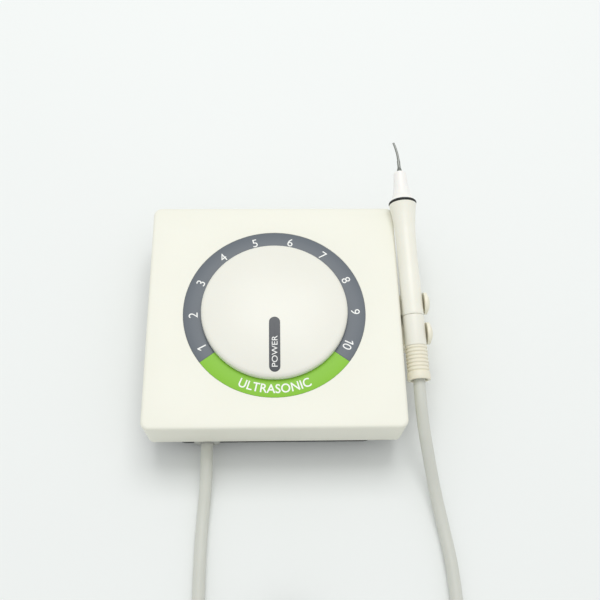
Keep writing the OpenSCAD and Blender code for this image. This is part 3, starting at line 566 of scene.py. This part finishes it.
GLAND_LEN, GLAND_SPREAD = 4.0, 3.8
gland_loops = []
for half, y in [(4.9, 0), (5.3, 0.1), (5.4, 0.5), (5.4, 2.1), (5.2, 2.6), (4.9, 2.8)]:
    loop = []
    for quarter, (sx, sy) in enumerate([(1, 1), (-1, 1), (-1, -1), (1, -1)]):
        for i in range(9):
            a = math.radians(90 * (quarter + i / 8))
            loop.append(on_gland(GLAND_SPREAD * sx + half * math.cos(a), half * math.sin(a), y))
    gland_loops.append(loop)
gland_collar = soften([(0, 2.7), (4.7, 2.7), (4.8, 3.6), (4.6, 4.0), (4.4, 4.0), (4.2, 3.6), (0, 3.6)],
                      0.2, closed=False)
gland_stub = [(0, -6.4), (4.2, -6.4), (4.4, -6.2), (4.4, 0.1), (0, 0.1)]
gland_grey = finish("grey_moulded_nylon", "b9bab4", "b2b3ad", 12, 0.5, 0.05, 0.5, 0.004, soft=0.05)
# Warm grey nylon, matt, close to the hose's own colour.
build("gland", *joined(skin(gland_loops), lathe(gland_collar, on_gland, 64, ring=False),
                       lathe(gland_stub, on_gland, 48, ring=False)), "unit", gland_grey, "cream_abs",
      ["hose_gland"])

# ---- Handpiece: hose connector ---------------------------------------------------------------
# Soft cream collar and ribbed grip over the hose's end, then a short rigid shell. The front part
# pushes on to the connector's core as far as the parting line.

unplug = next(j for j in frame["joints"] if j["name"] == "handpiece_unplug")
axis = Vector(unplug["axis"]).normalized()
ring_low, ring_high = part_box("nose_ring")
SEAL_S = 135.5
mouth = (ring_low + ring_high) / 2 - axis * SEAL_S * MM
hand_right = axis.cross(Vector((0, 0, 1))).normalized()
hand_up = hand_right.cross(axis)


def on_hand(x, y, s):
    """A point about the handpiece's axis, s along it from the collar's mouth."""
    return mouth + hand_right * x * MM + hand_up * y * MM + axis * s * MM


RIB_COUNT, RIB_S, RIB_LEN = 7, 6.0, 18.5
relief_profile = [(0, 5.5), (5.7, 5.5), (5.9, 5.2), (5.9, 0.5), (6.1, 0.12), (6.5, 0), (7.7, 0),
                  (8.05, 0.12), (8.2, 0.5), (8.15, 2.5), (8.05, 4.8), (7.9, 5.6), (7.4, 6.0)]
for i in range(RIB_COUNT):
    foot = RIB_S + i * RIB_LEN / RIB_COUNT
    relief_profile += [(7.2, foot + 0.2), (7.2, foot + 0.4), (7.6, foot + 0.62),
                       (7.85, foot + 1.0), (7.88, foot + 1.5), (7.78, foot + 2.1),
                       (7.5, foot + 2.45)]
relief_profile += [(6.9, 24.5), (0, 24.5)]
silicone = finish("cream_silicone", "f1ecda", "ebe5d1", 16, 0.46, 0.06, 0.4, 0.006, soft=0.15)
# Soft silicone with a silky sheen; the ribs catch thin highlights and hold warm shadows.
build("ribbed_grip", *lathe(relief_profile, on_hand, 96, ring=False), "hose_plug", silicone,
      "cream_silicone", ["strain_relief"])
shell_profile = soften([(4.3, 24.5), (7.35, 24.5), (7.7, 24.9), (7.7, 46.7), (7.45, 47), (4.3, 47)],
                       0.25)
shell_cream = finish("pale_cream_abs", "f1f0e6", "eeebdf", 22, 0.4, 0.05, 0.5, 0.004, soft=0.08)
# Between the sleeve's ivory and the grip's cream, as an older batch of plastic would be.
build("connector_barrel", *lathe(shell_profile, on_hand, 96), "hose_plug", shell_cream,
      "cream_abs", ["connector_shell"])

# ---- Handpiece: sleeve, seal and nose cone ------------------------------------------------------
# A one-piece polymer sleeve, slim at its waist and flared to 20 mm at the front, a black O-ring,
# and a white nose cone screwed over the transducer.

SLEEVE_S, SLEEVE_LEN = 47.3, 87.0
HAND_R, WAIST_R, FLARE_R = 7.7, 7.25, 10.1
WAIST = [(0, 0), (0.15, 0), (0.3, 0.3), (0.4, 0.75), (0.5, 1)]
FLARE = [(0.5, 0), (0.6, 0.02), (0.7, 0.09), (0.78, 0.18), (0.85, 0.36), (0.92, 0.6), (1, 1)]


def eased(t, stations):
    """A value between stations, passing through each without a corner."""
    i = max(k for k in range(len(stations) - 1) if stations[k][0] <= t)
    (t0, v0), (t1, v1) = stations[i], stations[i + 1]
    before, after = stations[max(i - 1, 0)], stations[min(i + 2, len(stations) - 1)]
    m0 = (v1 - before[1]) / (t1 - before[0]) if i else 0.0
    m1 = (after[1] - v0) / (after[0] - t0)
    u, span = (t - t0) / (t1 - t0), t1 - t0
    return ((2 * u ** 3 - 3 * u ** 2 + 1) * v0 + (u ** 3 - 2 * u ** 2 + u) * span * m0
            + (3 * u ** 2 - 2 * u ** 3) * v1 + (u ** 3 - u ** 2) * span * m1)


def sleeve_r(t):
    """Radius of the sleeve at a share of its length."""
    if t < 0.5:
        return HAND_R - (HAND_R - WAIST_R) * eased(t, WAIST)
    return WAIST_R + (FLARE_R - WAIST_R) * eased(t, FLARE)


sleeve_profile = [(4.7, SLEEVE_S), (7.4, SLEEVE_S), (7.6, SLEEVE_S + 0.12)]
sleeve_profile += [(sleeve_r(i / 60), SLEEVE_S + 0.35 + (SLEEVE_LEN - 0.55) * i / 60)
                   for i in range(61)]
sleeve_profile += [(9.95, SLEEVE_S + SLEEVE_LEN), (6.4, SLEEVE_S + SLEEVE_LEN),
                   (6.4, SLEEVE_S + SLEEVE_LEN - 6), (4.7, SLEEVE_S + SLEEVE_LEN - 8)]
sleeve_white = finish("ivory_autoclavable_polymer", "f6f4ea", "f1efe2", 30, 0.34, 0.04, 0.4, 0.003,
                      soft=0.1)
# Dense, smooth polymer: a long soft highlight down its back and slightly warmer edges.
build("sleeve", *lathe(sleeve_profile, on_hand, 128), "handpiece", sleeve_white, "ivory_abs",
      ["front_sleeve"])
ring_profile = [(9.2 + 1.2 * math.cos(math.pi * i / 12), SEAL_S + 1.2 * math.sin(math.pi * i / 12))
                for i in range(24)]
seal_black = finish("black_seal_rubber", "17181a", "101113", 6, 0.5, 0.06, 0.3, 0.004)
# Dense black rubber, a thin grey highlight round its crown.
build("nose_seal", *lathe(ring_profile, on_hand, 128), "handpiece", seal_black, "black_rubber",
      ["nose_ring"])
CONE_S = 136.7
cone_profile = [(4.5, CONE_S - 7.4), (6.3, CONE_S - 7.4), (6.3, CONE_S - 2.35), (8.0, CONE_S - 2.35),
                (8.0, CONE_S)]
cone_profile += soften([(9.3, CONE_S), (8.75, CONE_S + 1), (7.5, CONE_S + 3), (6.6, CONE_S + 6.5),
                        (5.8, CONE_S + 11), (5.1, CONE_S + 17), (4.7, CONE_S + 23.6),
                        (4.1, CONE_S + 24.4), (2.9, CONE_S + 24.4)], 1.6, 4, closed=False)
cone_profile += [(2.9, CONE_S + 8), (4.5, CONE_S + 2)]
cone_white = finish("white_nose_polymer", "faf8f5", "f7f4f0", 20, 0.38, 0.04, 0.4, 0.003, soft=0.15)
# A whiter, slightly translucent polymer that almost melts into a pale table.
build("nose", *lathe(cone_profile, on_hand, 96), "handpiece", cone_white, "white_plastic",
      ["nose_cone"])

# ---- Handpiece: scaling tip and transducer -------------------------------------------------------
# A forged and ground stainless tip, bent to its left and tapered, screwed to the titanium horn.
# Behind it a stack of four ceramic rings and a back mass is clamped by one bolt.

CONE_END = CONE_S + 24.4
TIP_POINTS = [(0, 0), (0, 3), (0, 5.8), (0, 6.1), (-0.1, 7.9), (-0.34, 10.9), (-0.8, 13.9),
              (-1.5, 17.5), (-2.6, 21.4)]
TIP_RADII = [1.2, 1.2, 1.2, 0.95, 0.95, 0.92, 0.88, 0.84, 0.78]


def smoothed(points, steps):
    """Points on a Catmull-Rom curve through the given ones."""
    out = []
    for i in range(len(points) - 1):
        a, b = points[max(i - 1, 0)], points[i]
        c, d = points[i + 1], points[min(i + 2, len(points) - 1)]
        for k in range(steps):
            t = k / steps
            out.append((b * 2 + (c - a) * t + (a * 2 - b * 5 + c * 4 - d) * t ** 2
                        + (b * 3 - a - c * 3 + d) * t ** 3) * 0.5)
    return out + [points[-1]]


def tube(points, radii, sides):
    """A closed round tube along points, its rings carried on without twisting."""
    loops, side = [], None
    for i, p in enumerate(points):
        way = (points[min(i + 1, len(points) - 1)] - points[max(i - 1, 0)]).normalized()
        if side is None:
            side = way.cross(Vector((0.3, 0.1, 1))).normalized()
        side = (side - way * side.dot(way)).normalized()
        other = way.cross(side)
        loops.append([p + (side * math.cos(2 * math.pi * k / sides)
                           + other * math.sin(2 * math.pi * k / sides)) * radii[i]
                      for k in range(sides)])
    return skin(loops)


tip_line = smoothed([on_hand(x, 0, CONE_END + 3.9 + s) for x, s in TIP_POINTS], 4)
tip_round = [r * MM for i in range(len(TIP_RADII) - 1) for r in
             [TIP_RADII[i] + (TIP_RADII[i + 1] - TIP_RADII[i]) * k / 4 for k in range(4)]]
tip_round.append(TIP_RADII[-1] * MM)
foot_profile = soften([(0, CONE_END - 0.9), (2.0, CONE_END - 0.9), (2.0, CONE_END + 0.7),
                       (2.2, CONE_END + 0.8), (1.3, CONE_END + 4), (0, CONE_END + 4)], 0.2,
                      closed=False)
tip_steel = finish("polished_tip_steel", "8e908c", "7f817d", 6, 0.35, 0.07, 0.12, 0.002, metallic=1.0)
# Hand-polished stainless steel: grey, with streaks of light that follow the bend.
build("tip", *joined(lathe(foot_profile, on_hand, 48, ring=False), tube(tip_line, tip_round, 24)),
      "vibrator", tip_steel, "stainless", ["scaling_tip"])
titanium = finish("machined_titanium", "8f8f92", "828286", 2, 0.35, 0.08, 0.15, 0.003, metallic=1.0)
# Darker and warmer than steel, with turning marks.
paint(titanium, "titanium", "horn")
ceramic = finish("fired_piezo_ceramic", "d9d3bd", "cfc8b1", 4, 0.6, 0.06, 0.2, 0.006)
# Unglazed, dense ceramic rings, dull and a little sandy.
paint(ceramic, "piezo", "piezo_rings")
gold = finish("gold_plated_contact", "e0b75a", "d4a848", 1.5, 0.22, 0.05, 0.1, 0.001, metallic=1.0)
# Thin gold plating on the two contact pins.
paint(gold, "gold", "contact_pins")

# ---- Hose ------------------------------------------------------------------------------------
# One light grey silicone hose, 8.5 mm thick. It leaves the gland, runs forward on the table, is
# coiled up and tied, and comes back up to the handpiece's collar.

HOSE_D = 8.5
GLAND_Y, LIE_Z = -85.45, 4.42
GLAND_Z, COLLAR_Z = 10.6, 37.7
COLLAR_X, COLLAR_Y = 101.356, -48.55
COIL_X, COIL_Y, COIL_OUT, COIL_IN = 8.0, GLAND_Y - 170.6, 54.6, 37.4
LEFT = [(0, 0, 1), (0, -10, 0.97), (0, -20, 0.79), (-0.5, -31, 0.4), (-1.5, -45, 0.05), (-2.5, -61, 0),
        (-3, -81, 0), (-3.2, -103, 0), (-3, -125, 0), (-3, -147, 0.03)]
RIGHT = [(0.5, -17, 0.9), (2.2, -33, 0.725), (5.2, -49, 0.47), (8.4, -65, 0.22), (11.4, -81, 0.07),
         (14.6, -99, 0), (17.2, -119, 0), (18.5, -143, 0), (18.6, -173, 0)]
TO_COIL = [(112, -6, 4.42), (102, -30, 4.42), (77, -42, 4.7), (47, -44.5, 8)]
# Each route is measured from the gland's mouth, the collar's mouth or the coil's middle; the third
# value of the first two is a share of that mouth's height.
left_way = [(x - 48, GLAND_Y + y, LIE_Z + share * (GLAND_Z - LIE_Z)) for x, y, share in LEFT]
right_way = [(COLLAR_X + x, COLLAR_Y + y, LIE_Z + share * (COLLAR_Z - LIE_Z)) for x, y, share in RIGHT]
right_way += [(COIL_X + x, COIL_Y + y, z) for x, y, z in TO_COIL]
LAYER_LOW, LAYER_HIGH = 5.25, 13.5
coil = []
for turn in range(174, 1730, 15):
    if turn < 900:
        r = COIL_OUT - (COIL_OUT - COIL_IN) * (turn - 180) / 720
        r += 4.4 * max(0.0, 1 - (turn - 174) / 75) ** 2
        z = LAYER_LOW - 0.5 * max(0.0, 1 - (turn - 174) / 30)
    elif turn < 1020:
        share = (turn - 900) / 120
        r = COIL_IN
        z = LAYER_LOW + (LAYER_HIGH - LAYER_LOW) * share * share * (3 - 2 * share)
    else:
        r = COIL_IN + (COIL_OUT - COIL_IN) * (turn - 1020) / 720
        z = LAYER_HIGH
    a = math.radians(turn)
    coil.append((COIL_X + r * math.cos(a), COIL_Y + r * math.sin(a), z))
line = [at(*p) for p in left_way + coil + right_way[::-1]]
line.append(on_hand(0, 0, -0.5))
line.append(on_hand(0, 0, 5.3))
path = smoothed(line, 3)
hose_grey = finish("light_grey_silicone_hose", "d6d7cf", "cfd0c8", 26, 0.42, 0.05, 0.5, 0.004,
                   soft=0.15)
# Smooth extruded silicone: pale warm grey, a broad dull highlight and darker edges.
hose = build("hose", *tube(path, [HOSE_D / 2 * MM] * len(path), 24), None, hose_grey,
             "hose_silicone", ["hose_left", "hose_coil", "hose_right", "hose_end"])
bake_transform(hose)

TIE_W, TIE_T = 12.0, 0.9
inner, outer = 34.7, 54.9
strap_outline = soften([(inner, 1.05), (outer, 1.05), (outer, 18.0), (inner, 18.0)], 4.0, 5)
strap_middle = Vector(((inner + outer) / 2, 9.5))
loops = []
for x, thick in [(-TIE_W / 2, 0.1), (0.2 - TIE_W / 2, TIE_T), (TIE_W / 2 - 0.2, TIE_T),
                 (TIE_W / 2, 0.1), (TIE_W / 2, 0.0), (-TIE_W / 2, 0.0)]:
    loop = []
    for p in strap_outline:
        away_from = (p - strap_middle).normalized()
        q = p + away_from * thick
        loop.append(at(COIL_X + x, COIL_Y + q.x, max(q.y, 0.1)))
    loops.append(loop)
strap_black = finish("black_woven_strap", "232325", "151516", 0.8, 0.8, 0.1, 0.35, 0.12)
# Hook-and-loop nylon: very dull black with a fuzzy, woven grain.
tie = build("hose_strap", *skin(loops, ring=True), "unit", strap_black, "black_rubber",
            ["hose_tie"])
